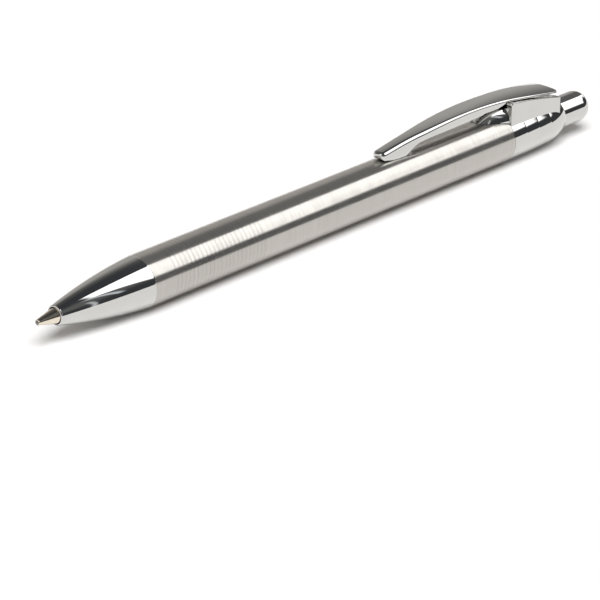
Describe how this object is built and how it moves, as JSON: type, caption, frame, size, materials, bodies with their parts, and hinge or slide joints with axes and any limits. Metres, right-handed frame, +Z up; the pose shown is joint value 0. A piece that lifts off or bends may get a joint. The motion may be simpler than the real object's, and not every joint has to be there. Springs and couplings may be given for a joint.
{
  "type": "retractable ballpoint pen",
  "caption": "Slim stainless steel ballpoint pen with a ringed grip, a bright tapered nose, a sprung arched clip on a ringed collar and a round-ended push button.",
  "frame": {"origin": "under the middle of the pen's length, on the surface that the pen lies on", "axes": "+X along the pen from the writing tip towards the push button, +Z up through the clip, +Y across the pen"},
  "size_m": [0.146, 0.01, 0.0141],
  "materials": {
    "turned_steel": "fine turned stainless steel",
    "bright_chrome": "mirror bright",
    "nickel_silver": "pale nickel silver, satin bright",
    "ball_carbide": "dark ground carbide",
    "refill_steel": "plain drawn steel",
    "spring_steel": "drawn spring wire",
    "bush_brass": "turned brass",
    "dark_plastic": "moulded, black",
    "pale_plastic": "moulded, natural white",
    "seal_rubber": "soft black rubber",
    "ink": "blue-black ink, wet"
  },
  "bodies": {
    "barrel": {"barrel_tube": "turned_steel", "front_bush": "bush_brass", "rear_bush": "bush_brass", "rear_collar": "bright_chrome", "cam_sleeve": "pale_plastic", "nose_shell": "bright_chrome", "nose_liner": "dark_plastic", "nose_seal": "seal_rubber", "clip_pin": "spring_steel", "clip_spring": "spring_steel", "return_spring": "spring_steel"},
    "button": {"push_button": "bright_chrome", "plunger": "pale_plastic"},
    "refill": {"refill_body": "refill_steel", "refill_plug": "dark_plastic", "ink_column": "ink", "refill_tip": "nickel_silver", "rotor_cam": "pale_plastic"},
    "ball": {"writing_ball": "ball_carbide"},
    "clip": {"pocket_clip": "bright_chrome"}
  },
  "joints": [
    {"name": "click", "type": "slide", "parent": "barrel", "child": "button", "axis": [1, 0, 0], "range_m": [-0.0012, 0.0055]},
    {"name": "refill_slide", "type": "slide", "parent": "barrel", "child": "refill", "axis": [1, 0, 0], "range_m": [-0.0012, 0.0055], "deforming": ["return_spring"]},
    {"name": "ball_roll", "type": "hinge", "parent": "refill", "child": "ball", "pos_m": [-0.07255, 0, 0.00496], "axis": [0, 1, 0], "continuous": true},
    {"name": "clip_lift", "type": "hinge", "parent": "barrel", "child": "clip", "pos_m": [0.05263, 0, 0.01071], "axis": [0, 1, 0], "range_deg": [0, 3], "stiffness_Nm_per_rad": 0.07, "springref_deg": -5.16, "deforming": ["clip_spring"]}
  ],
  "couplings": [
    {"joint": "refill_slide", "follows": "click", "ratio": 1}
  ]
}
